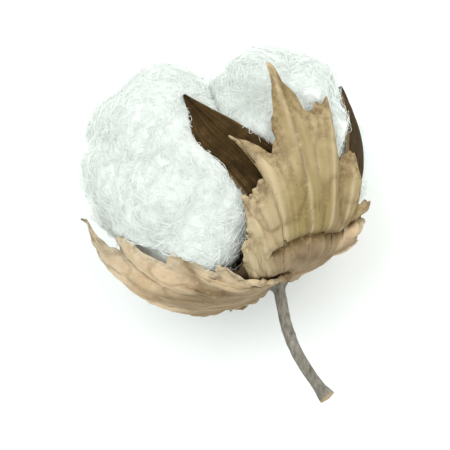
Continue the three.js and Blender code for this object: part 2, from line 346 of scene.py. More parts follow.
# %% Under the blades
VALVE_FREE = np.linspace(0.12, 1, 200)  # the part of a valve's curve that rises all the way
VALVE_FADE, BRACT_FADE = (-2.2, 0.3), (-1.2, 1.0)  # mm past the edge over which the cover ends
CRUMPLE_ROOM = 0.75  # mm kept free below a bract for each share of crumple
VEIN_STEPS = 100
LINT_PRESS = {"gap": (1.1, 1.15), "hold": 1.0, "beside": (0.0, 0.0)}  # under valves and under bracts


def turn_from(azimuth, middle):
    """Angle from a blade's middle line in radians, from -pi to pi."""
    return np.angle(np.exp(1j * np.radians(azimuth - middle)))


def valve_cover(valve, height, azimuth, press):
    """1 where the valve covers a point and 0 beside it, and how far out something may go under it."""
    out, rise = valve_spine(valve, VALVE_FREE)
    at = np.interp(height, rise, VALVE_FREE)
    limit = np.interp(height, rise, out)
    aside = turn_from(azimuth, valve["azimuth"] + valve["twist"] * at**2) * limit
    half = valve_half_width(at, aside, valve) + press["hold"] * valve["hold"] + press["beside"][0]
    cover = 1 - soft_step(np.abs(aside) - half, *VALVE_FADE)
    return cover * (height < rise[-1]), limit - press["gap"][0]


def bract_cover(bract, height, azimuth, press):
    """The same for a bract, whose edge on either side is read from the ends of its veins."""
    run, out, rise = bract_spine(bract)
    upper = np.arange(len(run)) >= np.argmin(rise)
    at = np.interp(height, rise[upper], run[upper])
    limit = np.interp(height, rise[upper], out[upper])
    aside = turn_from(azimuth, bract["azimuth"]) * limit
    v = np.linspace(1, 0, VEIN_STEPS)
    fan = np.radians(bract["spread"]) * v
    half = np.zeros_like(height)
    for side in (-1, 1):
        reach = run[-1] * side_share(side * v, bract) * (1 - np.mean(TOOTH_DEPTH) / 3)
        edge = np.interp(at, reach * np.cos(fan), reach * np.sin(fan))
        half = np.where(aside * side >= 0, edge, half)
    cover = 1 - soft_step(np.abs(aside) - half - press["beside"][1], *BRACT_FADE)
    return cover * (height < rise[-1]), limit - CRUMPLE_ROOM * bract["crumple"] - press["gap"][1]


def under_blades(points, press):
    """Moves points in towards the axis until they lie a gap behind every blade that covers them."""
    out = np.hypot(points[..., 0], points[..., 2])
    where = points[..., 1], np.degrees(np.arctan2(points[..., 0], points[..., 2])), press
    covers = [valve_cover(valve, *where) for valve in VALVES]
    covers += [bract_cover(bract, *where) for bract in BRACTS.values()]
    hidden, held = np.zeros_like(out), out.copy()
    for cover, limit in covers:
        held -= cover * np.maximum(held - limit, 0)
        hidden = np.maximum(hidden, cover)
    shrink = (held / np.maximum(out, 1e-6))[..., None]
    return points * np.where([True, False, True], shrink, 1), hidden


probe = under_blades(np.array([[0.0, 15.0, 30.0]]), LINT_PRESS)[0]
print("a point 30 mm out may stay at", np.round(np.hypot(probe[0, 0], probe[0, 2]), 1), "mm")

# %% [markdown]
# ## Locks of lint
# A lock is a row of seeds, each in its own tuft of fibre, all swollen into one soft mass. Particle hair
# would be lost in an export, so the mass is a real surface: from the lock's middle a ray runs in every
# direction until it leaves the heart of the mass or a tuft. The longest of these lengths, rounded off
# where two meet, gives puffs with soft creases. Noise in several sizes makes the puffs woolly.

# %% Tufts of a lock
TUFTS, TUFT_RADIUS = 17, 6.4
TUFT_UNEVEN, TUFT_TURN = 0.6, 2.4  # mm that the radius varies, in a wave of so many radians to a tuft
TUFT_SHELL = np.array([9, 11.4, 9])  # mm from the lock's middle to the tufts' middles
HEART = np.array([11.8, 14.4, 11.8])  # half axes of the heart in mm
PUFF = 0.95  # how sharp the creases between tufts are
WOOL_SHIFT = 40  # sets the locks' noises apart
LOCKS = {
    "lock_left": {"azimuth": -49, "out": 14.2, "swell": 1.07},
    "lock_front": {"azimuth": 46, "out": 11.4, "swell": 0.95},
    "lock_right": {"azimuth": 138, "out": 13, "swell": 0.99},
    "lock_back": {"azimuth": -141, "out": 13.2, "swell": 0.99},
}  # degrees round the axis, mm from it, and how far swollen


def evenly(count):
    """Directions spread evenly over a ball, along a spiral that turns by the golden angle."""
    i = np.arange(count)
    rise = 1 - (2 * i + 1) / count
    flat = np.sqrt(1 - rise**2)
    turn = np.pi * (3 - np.sqrt(5)) * i
    return np.stack([flat * np.cos(turn), rise, flat * np.sin(turn)], axis=-1)


def soft_max(lengths, sharpness):
    """Follows the largest of several arrays and rounds off where two are alike, as the logarithm of their
    summed exponentials does."""
    most = np.max(lengths, axis=0)
    return most + np.log(np.sum(np.exp(sharpness * (lengths - most)), axis=0)) / sharpness


def lock_reach(lock, rays):
    """Length of each ray: the longest way out of the heart and the tufts, rounded off, plus the wool."""
    radius = TUFT_RADIUS + TUFT_UNEVEN * np.sin(TUFT_TURN * np.arange(TUFTS) + lock["azimuth"])
    centre = evenly(TUFTS) * TUFT_SHELL
    near = rays @ centre.T
    inside = near**2 + radius**2 - np.sum(centre**2, axis=1)
    leave_tufts = np.where(inside > 0, near + np.sqrt(np.maximum(inside, 0)), 0)
    leave_heart = 1 / np.linalg.norm(rays / HEART, axis=1)
    reach = soft_max(np.concatenate([[leave_heart], leave_tufts.T]), PUFF) * lock["swell"]
    return reach + woolly(rays * reach[:, None] + WOOL_SHIFT * lock["swell"] + lock["azimuth"])


tuft_ways = np.round(evenly(TUFTS)[:2], 2).tolist()
print("the first two tufts lie towards", tuft_ways)

# %% Formula of a lock
LOCK_MIDDLE = 19.5  # mm up the boll
INNER_WALL, WALL_EDGE = 1.5, 2  # mm kept to the boll's axis, and how sharply the lint stops there
LOCK_GAP, ROOM_EDGE = 0.3, 1.2  # mm kept to the plane between two locks, and how sharply
FINE_WOOL = [(1.7, 0.14, 15), (0.8, 0.09, 16)]  # size, height and seed
TABLE_GAP = 0.02


def lock_room(name):
    """Half the angle to the neighbouring locks, on the left and on the right."""
    names = list(LOCKS)
    i = names.index(name)
    here = LOCKS[name]["azimuth"]
    sides = [LOCKS[names[i - 1]]["azimuth"], LOCKS[names[(i + 1) % len(names)]]["azimuth"]]
    return [abs((side - here + 540) % 360 - 180) / 2 for side in sides]


def lock_points(name):
    """The rays' ends, pressed by the neighbouring locks, the blades and the table. Gives the points, how far
    blades cover them (0 to 1) and how far a neighbour pressed them (mm)."""
    lock = LOCKS[name]
    rays = ball_rays(*LOCK_GRID)
    x, y, z = (rays * lock_reach(lock, rays)[:, None] + [0, LOCK_MIDDLE, lock["out"]]).T
    z = soft_max(np.stack([z, np.full_like(z, INNER_WALL)]), WALL_EDGE)
    left, right = lock_room(name)
    room = z * np.tan(np.radians(np.where(x > 0, right, left))) - LOCK_GAP
    held = -soft_max(np.stack([-np.abs(x), -room]), ROOM_EDGE)
    pressed = np.abs(x) - held
    points = turn_round(np.stack([np.sign(x) * held, y, z], axis=-1), lock["azimuth"])
    points, hidden = under_blades(points, LINT_PRESS)
    points = lay_down(points)
    normals = surface_normals(points, ball_faces(*LOCK_GRID)[0])
    points = points + normals * grains(points, FINE_WOOL)[:, None]
    points[:, 2] = np.maximum(points[:, 2], TABLE_GAP)
    return points, hidden, pressed


print("half angles between locks:", {name: lock_room(name) for name in LOCKS})

# %% [markdown]
# ## From arrays to meshes
# Every piece comes as arrays of points and faces. `foreach_set` copies them into a mesh in one go,
# which is far quicker than adding faces one by one. A closed mesh has a signed volume, and if that is
# negative the faces look inwards and are turned round. Marks are numbers kept on the points, which a
# finish reads later.

# %% Meshes from arrays
MM = 0.001  # a mesh counts in metres, the formulas in millimetres


def signed_volume(points, faces):
    """Splits each face into a fan of triangles and adds up a sixth of their corners' triple products."""
    corners = points[faces]
    volume = 0.0
    for k in range(1, faces.shape[1] - 1):
        wedge = np.cross(corners[:, k], corners[:, k + 1])
        volume += np.einsum("ij,ij->", corners[:, 0], wedge) / 6
    return volume


def make_piece(name, points, face_sets, node, slot, **marks):
    """Makes one object from points in mm of the table's frame, face arrays that close it, and marks."""
    volume = sum(signed_volume(points, faces) for faces in face_sets if len(faces))
    if volume < 0:
        face_sets = [faces[:, ::-1] for faces in face_sets]
    mesh = bpy.data.meshes.new(name)
    mesh.vertices.add(len(points))
    mesh.vertices.foreach_set("co", (points * MM).astype(np.float32).ravel())
    corners = np.concatenate([faces.ravel() for faces in face_sets]).astype(np.int32)
    sizes = np.concatenate([np.full(len(faces), faces.shape[1]) for faces in face_sets])
    starts = np.concatenate([[0], np.cumsum(sizes)[:-1]]).astype(np.int32)
    mesh.loops.add(len(corners))
    mesh.loops.foreach_set("vertex_index", corners)
    mesh.polygons.add(len(sizes))
    mesh.polygons.foreach_set("loop_start", starts)
    for mark, values in marks.items():
        layer = mesh.attributes.new(mark, "FLOAT", "POINT")
        layer.data.foreach_set("value", np.asarray(values, np.float32).ravel())
    mesh.update(calc_edges=True)
    mesh.validate()
    mesh.shade_smooth()
    piece = bpy.data.objects.new(name, mesh)
    bpy.context.collection.objects.link(piece)
    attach(piece, "root")
    if node:
        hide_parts(node)
    print(f"{name}: {len(points)} points, {int((sizes - 2).sum())} triangles")
    return piece


print("metres in a millimetre:", MM)

# %% Lint surfaces
lint_pieces, lint_surface = [], {}
for name in LOCKS:
    lint_surface[name] = lock_points(name)
    points, faces = lint_surface[name][0], ball_faces(*LOCK_GRID)
    lint_pieces.append(make_piece(f"{name}_lint", points, faces, name, "lint"))

# %% [markdown]
# ## Loose fibres
# Seen close to, lint is thousands of fine curled hairs. Hair curves would be lost in an export, so
# each fibre is a thin three-sided tube of 14 faces that hugs the surface in an arch. Most lie flat in
# strands that run the same way, and a few stand off and blur the outline.

# %% Faces of a fibre, and blades in its way
FIBRE_PRESS = {"gap": (0.3, 0.3), "hold": 0.7, "beside": (-0.5, -0.1)}  # under valves and under bracts
FIBRE_EDGES = np.radians([90, 210, 330])  # where round the tube its three edges run
FIBRE_STEPS = 5


def stand_up(points):
    """Undoes lay_down: shifts points back from the base and turns them the other way."""
    return (points - BASE) @ LAY


def crossing(line):
    """How many mm the worst point of each line would have to move in to lie behind the blades."""
    upright = stand_up(line)
    moved = under_blades(upright, FIBRE_PRESS)[0] - upright
    return np.linalg.norm(moved, axis=-1).max(axis=1)


def fibre_faces(count):
    """Three-sided tubes: four-cornered faces between the rings, and a triangle at each end."""
    sides = len(FIBRE_EDGES)
    tube = grid_faces(FIBRE_STEPS, sides, wrap=True)
    size = FIBRE_STEPS * sides
    ends = np.array([[0, 2, 1], [size - 3, size - 2, size - 1]])
    shift = (np.arange(count) * size)[:, None, None]
    return (tube[None] + shift).reshape(-1, 4), (ends[None] + shift).reshape(-1, 3)


print("faces in a fibre:", sum(len(faces) for faces in fibre_faces(1)))

# %% Formula of a fibre
FIBRE_HALF = (1.6, 4.2)  # mm from the middle to the ends, least and most
FIBRE_RISE, LOOSE_RISE = (0.05, 0.45), (0.6, 1.8)  # mm that the arch of a lying and of a loose fibre rises
LOOSE_SHARE = 0.14  # share of the fibres that stand off
FIBRE_BEND = (16.0, 8.0)  # mm radius of the arc of a loose and of a lying fibre
FLOW_SIZE, FLOW_SEEDS, FLOW_SCATTER = 5.5, (11, 12, 13), 0.55  # noise that sets which way strands run
FIBRE_CURL, SWAY_WAVES, SWAY_START = 0.45, (1.5, 4.0), 6.28  # mm aside, waves in radians, where they start
CROSSES, SHORTENED, STILL_CROSSES = 0.3, 0.4, 0.45  # mm past a blade, share then kept, mm that rules it out
FIBRE_RADIUS, FIBRE_VARY, FIBRE_TAPER = 0.055, (0.7, 1.25), 0.65
FIBRE_TABLE_GAP = 0.03


def fibre_points(roots, normals, rng):
    """Tapered tubes along arches that follow a flow of noise, rise as 1 - s^2, sink with the square of the
    way along and sway as a sine. Those that cross a blade are shortened, or left out if they still do."""
    each = (len(roots), 1, 1)
    flow = np.stack([grain(roots, FLOW_SIZE, seed) for seed in FLOW_SEEDS], axis=-1)
    along = flow + FLOW_SCATTER * rng.normal(size=(len(roots), 3))
    along = unit(along - normals * np.sum(along * normals, axis=1, keepdims=True))
    aside = np.cross(normals, along)
    s = np.linspace(-1, 1, FIBRE_STEPS)[None, :, None]
    half = rng.uniform(*FIBRE_HALF, each)
    rise = rng.uniform(*FIBRE_RISE, each)
    loose = rng.random(each) < LOOSE_SHARE
    rise = np.where(loose, rng.uniform(*LOOSE_RISE, each), rise)
    bend = np.where(loose, *FIBRE_BEND)
    curl = rng.normal(0, FIBRE_CURL, each)
    sway = curl * np.sin(s * rng.uniform(*SWAY_WAVES, each) + rng.uniform(0, SWAY_START, each))

    def arch(share):
        """Middle lines of the fibres when only that share of their length is left."""
        reach = share * half * s
        height = rise * (1 - s**2) - reach**2 / (2 * bend)
        flat = along[:, None] * reach + aside[:, None] * sway * share
        return roots[:, None] + flat + normals[:, None] * height

    line = arch(np.where(crossing(arch(1.0)) > CROSSES, SHORTENED, 1.0)[:, None, None])
    thick = FIBRE_RADIUS * rng.uniform(*FIBRE_VARY, each) * (1 - FIBRE_TAPER * np.abs(s) ** 3)
    turn = FIBRE_EDGES[None, None, :, None]
    ring = np.sin(turn) * normals[:, None, None] + np.cos(turn) * aside[:, None, None]
    points = (line[:, :, None] + thick[..., None] * ring)[crossing(line) < STILL_CROSSES]
    points[..., 2] = np.maximum(points[..., 2], FIBRE_TABLE_GAP)
    return points.reshape(-1, 3)


print("a fibre is", 2 * np.array(FIBRE_HALF), "mm long")

# %% Fibres
FIBRES = {"lock_left": 6400, "lock_front": 5400, "lock_right": 3800, "lock_back": 3800}  # most at the front
HIDDEN, HIDDEN_SHARE = 0.97, 0.5  # cover past which only half as many fibres grow
TOO_DEEP, TOO_LOW = 5, 0.4  # mm pressed by a neighbour and mm above the table where none grow


def bilinear(corners, s, t):
    """A value inside a four-cornered face, from its corners and two shares between 0 and 1."""
    a, b, c, d = np.moveaxis(corners, 1, 0)
    return (a * (1 - s) + b * s) * (1 - t) + (d * (1 - s) + c * s) * t


fibre_pieces = []
rng = np.random.default_rng(20)
for name, (points, hidden, pressed) in lint_surface.items():
    quads, _ = ball_faces(*LOCK_GRID)
    normals = surface_normals(points, quads)
    corners = points[quads]
    area = np.linalg.norm(np.cross(corners[:, 2] - corners[:, 0], corners[:, 3] - corners[:, 1]), axis=1)
    grows = (1 - HIDDEN_SHARE * (hidden > HIDDEN)) * (pressed < TOO_DEEP) * (points[:, 2] > TOO_LOW)
    weight = area * grows[quads].min(axis=1)
    chosen = quads[rng.choice(len(quads), FIBRES[name], p=weight / weight.sum())]
    share = rng.random((2, FIBRES[name], 1))
    roots, ways = (bilinear(values[chosen], *share) for values in (points, normals))
    tubes = fibre_points(roots, unit(ways), rng)
    faces = fibre_faces(len(tubes) // (len(FIBRE_EDGES) * FIBRE_STEPS))
    fibre_pieces.append(make_piece(f"{name}_fibres", tubes, faces, None, "lint"))

# %% [markdown]
# ## Burr
# The burr is the split wall of the fruit: four boat-shaped woody valves on one foot, each with a rib
# inside. A valve is one grid over its length and width, wrapped round the boll and thickened to both
# sides. A Solidify modifier would thicken it evenly. Moving each face by its own distance also gives the
# rib inside and the wrinkles outside, which run lengthwise because the wall shrank as it dried.

# %% Thin sheets
def sheet_faces(rows, columns):
    """Faces of a thin closed sheet: an outer grid, an inner grid turned round, and the rim between."""
    outer = grid_faces(rows, columns)
    count = rows * columns
    index = np.arange(count).reshape(rows, columns)
    rim = np.concatenate([index[0, :-1], index[:-1, -1], index[-1, :0:-1], index[:0:-1, 0]])
    ahead = np.roll(rim, -1)
    edge = np.stack([rim, rim + count, ahead + count, ahead], axis=-1)
    return np.concatenate([outer, outer[:, ::-1] + count, edge])


def grid_normals(grid):
    """Unit vectors square to a grid of points, from its steps across crossed with its steps along."""
    return unit(np.cross(np.gradient(grid, axis=1), np.gradient(grid, axis=0)))


def sheet_points(middle, outer, inner):
    """Moves a grid of points along its own normal, to both sides by the given distances."""
    normal = grid_normals(middle)
    faces = [middle + normal * outer[..., None], middle - normal * inner[..., None]]
    return np.concatenate([face.reshape(-1, 3) for face in faces])


def wrapped(out, height, aside, radius):
    """A point `aside` round the boll from its meridian, on an arc of the given radius."""
    turn = aside / radius
    return np.stack([radius * np.sin(turn), height, out - radius * (1 - np.cos(turn))], axis=-1)


print("faces of the smallest sheet:", len(sheet_faces(2, 2)))

# %% Valves
VALVE_GRID = (84, 45)
VALVE_THICKNESS = 1.3
SEPTUM, SEPTUM_WIDTH = 1.6, 0.16  # the rib inside: mm high, share of the half width
TIP_THINNING, EDGE_THINNING = 0.45, 0.55  # shares of the thickness that are lost there
VALVE_RAGGED, RAGGED_WAVES, RAGGED_FROM = 0.035, 9, (0.3, 0.6)  # share of the width, and where it sets in
VALVE_WRAP = 9  # least radius of the wrap in mm
WRINKLES = [(1.5, 0.16, 21), (0.7, 0.09, 22)]  # size, height and seed
WRINKLE_ACROSS, WRINKLE_ALONG, VALVE_APART = 2.2, 9, 7  # squeeze across, mm along, mm between valves
WRINKLE_FROM, GROOVE_FROM = (0.05, 0.25), (0.05, 0.3)  # shares of the length over which they set in
GROOVE, GROOVE_WIDTH = 0.22, 0.07  # mm deep, share of the half width


def valve_points(valve, seed):
    """Middle surface: the spine wrapped round the boll and twisted towards the tip; then two faces."""
    u = np.linspace(0, 1, VALVE_GRID[0])[:, None]
    v = np.linspace(-1, 1, VALVE_GRID[1])[None]
    out, height = (part[:, None] + 0 * v for part in valve_spine(valve, u[:, 0]))
    ragged = 1 + VALVE_RAGGED * np.sin(RAGGED_WAVES * u + seed) * soft_step(u, *RAGGED_FROM)
    aside = v * valve_half_width(u, v, valve) * ragged
    middle = wrapped(out, height, aside, np.maximum(out, VALVE_WRAP))
    middle = turn_round(middle, valve["twist"] * u**2 + 0 * v)
    blade = VALVE_THICKNESS / 2 * (1 - TIP_THINNING * u) * (1 - EDGE_THINNING * np.abs(v) ** 6)
    rib = SEPTUM * hill(v, SEPTUM_WIDTH) * (1 - u)
    strip = np.stack(
        [aside * WRINKLE_ACROSS, u * WRINKLE_ALONG + 0 * v, seed * VALVE_APART + 0 * aside], axis=-1
    )
    groove = -GROOVE * hill(v, GROOVE_WIDTH) * soft_step(u, *GROOVE_FROM)
    uneven = (grains(strip, WRINKLES) + groove) * soft_step(u, *WRINKLE_FROM)
    points = lay_down(turn_round(sheet_points(middle, blade + uneven, blade + rib), valve["azimuth"]))
    along, across = (np.tile((part + 0 * aside).ravel(), 2) for part in (u, v))
    return points, along, across, np.repeat([0.0, 1.0], aside.size)


print("points in a valve:", len(valve_points(VALVES[0], 0)[0]))

# %% Burr
BOSS = [[0, -0.3], [3.7, -0.3], [4.6, 0.7], [3.7, 3.2], [0, 4.0]]  # profile of the foot, mm out and up
BOSS_COLUMNS = 48


def carried_round(out, height, turn):
    """Points at a distance and a height, carried round the axis by an angle."""
    return np.stack([out * np.sin(turn), height + 0 * turn, out * np.cos(turn)], axis=-1)


def turned_points(profile, columns):
    """A profile of distance and height carried round the axis, its ends on the axis."""
    out, height = np.asarray(profile, float).T
    turn = np.linspace(0, 2 * np.pi, columns, endpoint=False)
    ring = carried_round(out[1:-1, None], height[1:-1, None], turn)
    return np.concatenate([[[0, height[0], 0]], ring.reshape(-1, 3), [[0, height[-1], 0]]])


burr_points, burr_quads, burr_marks = [], [], []
for seed, valve in enumerate(VALVES):
    points, *marks = valve_points(valve, seed)
    burr_quads.append(sheet_faces(*VALVE_GRID) + sum(len(p) for p in burr_points))
    burr_points.append(points)
    burr_marks.append(marks)
boss = lay_down(turned_points(BOSS, BOSS_COLUMNS))
boss_quads, boss_fans = ball_faces(len(BOSS) - 1, BOSS_COLUMNS)
shift = sum(len(p) for p in burr_points)
if signed_volume(boss, boss_quads) * signed_volume(burr_points[0], burr_quads[0]) < 0:
    boss_quads, boss_fans = boss_quads[:, ::-1], boss_fans[:, ::-1]
burr_points.append(boss)
burr_marks.append(np.zeros((3, len(boss))))
along, across, inner = (np.concatenate(mark) for mark in zip(*burr_marks))
burr = make_piece(
    "burr_valves", np.concatenate(burr_points),
    [np.concatenate([*burr_quads, boss_quads + shift]), boss_fans + shift],
    "burr", "burr", along=along, across=across, inner=inner,
)

# %% [markdown]
# ## Bracts
# Three leafy bracts held the flower bud. Dry, they are thin as paper, pleated along the veins, crumpled
# and cut into long teeth, and the front one is folded across. Cloth simulation would crumple them by
# chance. Here the grid's columns are the veins and its rows run from the foot to the edge, so each fold,
# ruffle and crease is a height over that grid and sits where it should.

# %% Veins, crumples and the fold
RAGGED = [(0.012, 41, 1), (0.01, 97, 2)]  # share of the length, waves across the edge, shift by the seed
SPUR_SWING, SPUR_FROM = 5.0, (0.8, 1)  # degrees that the spur bends left, and where along it that sets in
TIP_SWING, TIP_FROM = 1.5, (0.5, 1)  # the same for the long middle tooth beside it
LARGE_CRUMPLE, SMALL_CRUMPLE, FINE_CRUMPLE = (4.4, 31), (2.0, 32), (1.0, 33)  # size and seed of the noise
CRUMPLE_HEIGHTS, FOLDED_MEAN = (0.75, 0.34, 0.07), 0.35  # mm, and the folded noise's usual value
CREASE_WIDTHS, SMALL_CREASE = (0.09, 0.12), 0.7  # shares of the noise's height, strength of the small ones
FOLD_AWAY, FOLD_LEFT_END, FOLD_FADE = 16.5, (-0.62, -0.45), 1.5  # mm from the foot, veins, mm
FOLD_CLIMB, CLIMB_FROM, CLIMB_POWER = 25, 0.55, 1.3  # the fold turns up to the edge on the right
FOLD_DEPTH, FOLD_WIDTH, DENT, DENT_BELOW, DENT_WIDTH = 1.2, 1.2, 0.6, 4, 2.8  # mm


def fanned_veins(bract, length, u, v, seed):
    """Distance from the foot and angle off the middle line: u along each vein, wider fanned at the foot."""
    ragged = 1 + sum(share * np.sin(waves * v + shift * seed) for share, waves, shift in RAGGED)
    away = BRACT_CLAW + (vein_length(v, length, bract) * ragged - BRACT_CLAW) * u
    tip = np.sqrt(np.maximum(1 - np.abs(v) * TEETH, 0)) * (bract["spur"] > 0)
    swing = SPUR_SWING * spur_strip(v, bract) * soft_step(u, *SPUR_FROM)
    swing = swing + TIP_SWING * tip * soft_step(u, *TIP_FROM)
    wider = 1 + np.where(v < 0, *bract["base"]) * (1 - u) ** 2
    return away, np.radians(bract["spread"] * v * wider - swing)


def crumples(flat, drawn_out):
    """Noise drawn out along the veins and folded at zero, plus fine noise; its folds are the creases."""
    large, small = grain(drawn_out, *LARGE_CRUMPLE), grain(drawn_out, *SMALL_CRUMPLE)
    parts = np.abs(large) - FOLDED_MEAN, np.abs(small) - FOLDED_MEAN, grain(flat, *FINE_CRUMPLE)
    crumple = sum(height * part for height, part in zip(CRUMPLE_HEIGHTS, parts))
    wide, narrow = hill(large, CREASE_WIDTHS[0]), hill(small, CREASE_WIDTHS[1])
    return crumple, np.maximum(wide, SMALL_CREASE * narrow)


def fold_across(bract, away, v):
    """Marks of the fold's line and of all below it, and the dent: a swelling below and a groove on it."""
    above = away - FOLD_AWAY - FOLD_CLIMB * np.maximum(v - CLIMB_FROM, 0) ** CLIMB_POWER
    folded = bract["fold"] * soft_step(v, *FOLD_LEFT_END)
    line = folded * hill(above, FOLD_WIDTH)
    dent = DENT * folded * hill(above + DENT_BELOW, DENT_WIDTH) - FOLD_DEPTH * line
    return line, folded * soft_step(-above, 0, FOLD_FADE), dent


print("bracts folded across:", [name for name, bract in BRACTS.items() if bract["fold"]])

# %% Bract surfaces
BRACT_GRID = (88, TEETH * 22 + 1)
PLEAT, PLEAT_FROM = 0.45, (0, 0.5)  # mm, and the shares of the length over which it sets in
RUFFLE, RUFFLE_WAVES = 1.3, 5.5  # mm, and radians from the middle to a side
BRACT_WRAP, BRACT_APART = 12, 11  # least mm radius of the wrap, mm between the bracts' noises
DRAWN_OUT = (24, 0.36)  # mm of noise to a radian of the fan and to a mm along, so it runs with the veins
BRACT_HALF, EDGE_THINNER = 0.22, 0.5  # mm of half the thickness, share of it lost at the edge
VEIN_HEIGHT, VEIN_WIDTH, VEIN_LOWER = 0.16, 0.085, 0.6  # mm, share of a tooth, share lost at the edge
RIBS, RIB_HEIGHT, RIB_WIDTH = 4, 0.05, 0.18  # to a tooth, mm, share of the space between two
EAR_ACROSS, EAR_ALONG = (0.5, 0.72), (0.2, 0.75)  # veins and shares of the length over which it lifts
CRUMPLE_FROM, CREASE_FROM, VEIN_FROM, RIB_FROM = (0.1, 0.5), (0.1, 0.4), (0.0, 0.1), (0.15, 0.4)
CURL, CURL_NOISE = 0.7, (4, 34)  # mm at the edge; size and seed of its noise
# The crease and fold marks are painted shade in the finish.
RIB_MARK, CREASE_MARK, FOLD_MARK = 0.35, 0.85, 1.5  # how strongly they show in the finish
VEIN_LOST, CREASE_LOST = 0.8, 0.75  # shares of those marks lost below the fold


def bract_points(name, seed):
    """Fanned veins wrapped round the boll, moved out by pleats, ruffles, an ear, crumples and the fold."""
    bract = BRACTS[name]
    run, out_line, height_line = bract_spine(bract)
    u = np.linspace(0, 1, BRACT_GRID[0])[:, None]
    v = np.linspace(-1, 1, BRACT_GRID[1])[None]
    away, fan = fanned_veins(bract, run[-1], u, v, seed)
    at, aside, apart = away * np.cos(fan), away * np.sin(fan), seed * BRACT_APART + 0 * away
    pleat = -PLEAT * np.cos(2 * np.pi * beside_vein(v)) * soft_step(u, *PLEAT_FROM)
    wave = RUFFLE * np.sin(RUFFLE_WAVES * v + bract["azimuth"]) * u**2
    ear = bract["ear"] * soft_step(v, *EAR_ACROSS) * soft_step(u, *EAR_ALONG)
    out = np.interp(at, run, out_line) + pleat + wave + ear
    middle = wrapped(out, np.interp(at, run, height_line), aside, np.maximum(out, BRACT_WRAP))
    flat = np.stack([aside, at, apart], axis=-1)
    crumple, crease = crumples(flat, np.stack([DRAWN_OUT[0] * fan, DRAWN_OUT[1] * away, apart], axis=-1))
    fold_line, below, dent = fold_across(bract, away, v)
    uneven = bract["crumple"] * crumple * soft_step(u, *CRUMPLE_FROM)
    uneven = uneven + CURL * grain(flat, *CURL_NOISE) * u**6 + dent
    middle += grid_normals(middle) * uneven[..., None]
    vein = hill(beside_vein(v) - 0.5, VEIN_WIDTH) * soft_step(u, *VEIN_FROM)
    rib = hill(np.mod(beside_vein(v) * RIBS + 0.5, 1) - 0.5, RIB_WIDTH) * soft_step(u, *RIB_FROM)
    half = BRACT_HALF * (1 - EDGE_THINNER * u**3) + 0 * v
    outer = half + VEIN_HEIGHT * vein * (1 - VEIN_LOWER * u) + RIB_HEIGHT * rib
    points = lay_down(turn_round(sheet_points(middle, outer, half), bract["azimuth"]))
    points[:, 2] = np.maximum(points[:, 2], TABLE_GAP)
    # Painted shade: the crease mark, which also carries the fold's line, darkens the bract in the finish.
    crease = CREASE_MARK * crease * soft_step(u, *CREASE_FROM) * (1 - CREASE_LOST * below)
    marks = {
        "along": u, "across": v, "vein": (vein + RIB_MARK * rib) * (1 - VEIN_LOST * below),
        # On the front bract this mark covers the lobe below the fold, whose dun to beige is partly painted
        # shade.
        "rosy": below if bract["fold"] else np.ones_like(at),
        "crease": np.maximum(crease, FOLD_MARK * fold_line),
    }
    return points, {mark: np.tile((part + 0 * at).ravel(), 2) for mark, part in marks.items()}


bract_pieces = []
for seed, name in enumerate(BRACTS):
    points, marks = bract_points(name, seed)
    faces = [sheet_faces(*BRACT_GRID)]
    bract_pieces.append(make_piece(f"{name}_leaf", points, faces, name, "bract", **marks))

# %% [markdown]
# ## Calyx
# The calyx is a shallow cup with five low lobes, pressed to the foot of the burr. A Screw modifier could
# turn a profile into a cup, but a round one. Here the closed profile is carried round the axis as an
# array, and the lobes push its rim outwards and upwards five times a turn.

# %% Calyx
CALYX_WALL, CALYX_LOBES, CALYX_LOBE = 0.7, 5, (1.4, 1.1)  # mm, count, and mm outwards and upwards
CALYX_PROFILE = np.array([[1.4, -2.2], [7.8, -1.7], [10.8, -0.6], [12.4, 0.6]])  # mm out and up
CALYX_GRID = (14, 160)  # points along the profile and columns round
CALYX_INSET, CALYX_THINNING = 0.1, 0.4  # mm between the two profiles, share of the wall lost at the rim
CALYX_FRAY, CALYX_FRAYS, CALYX_RIPPLE, CALYX_RIPPLES = 0.12, 23, 0.12, 20  # heights and counts in a turn


def calyx_points():
    """Outer profile up, inner profile down, carried round and lobed with the cube of the way out."""
    share = np.linspace(0, 1, CALYX_GRID[0])
    knots = np.linspace(0, 1, len(CALYX_PROFILE))
    out, height = (np.interp(share, knots, CALYX_PROFILE[:, k]) for k in (0, 1))
    wall = CALYX_WALL * (1 - CALYX_THINNING * share**4)
    loop_out = np.concatenate([out, (out - CALYX_INSET)[::-1]])[:, None]
    loop_height = np.concatenate([height, (height + wall)[::-1]])[:, None]
    way_out = (loop_out - out[0]) / (out[-1] - out[0])
    turn = np.linspace(0, 2 * np.pi, CALYX_GRID[1], endpoint=False)[None]
    lobe = way_out**3 * (np.cos(CALYX_LOBES * turn) + CALYX_FRAY * np.sin(CALYX_FRAYS * turn))
    ripple = CALYX_RIPPLE * np.sin(CALYX_RIPPLES * turn) * way_out
    points = carried_round(
        loop_out + CALYX_LOBE[0] * lobe, loop_height + CALYX_LOBE[1] * lobe + ripple, turn
    )
    return lay_down(points.reshape(-1, 3)), (way_out + 0 * turn).ravel()


calyx_surface, calyx_along = calyx_points()
calyx_faces = grid_faces(2 * CALYX_GRID[0], CALYX_GRID[1], wrap=True, loop=True)
calyx = make_piece("calyx_cup", calyx_surface, [calyx_faces], "calyx", "calyx", along=calyx_along)

# %% [markdown]
# ## Stalk
# The stalk is a thin ridged rod. A curve object with a round bevel would give a plain tube. Here a ring
# of points is carried along a smooth route, widens where it carries the boll, has a collar below the
# bracts and swells at its broken end. Low ridges and warts run along it.

# %% The stalk's route
STALK_ROUTE = np.array([[0, -0.95, 0], [0, -4, 0], [-0.9, -10, 0.5], [-0.9, -17, 1.1], [1.4, -26, 0.9]])


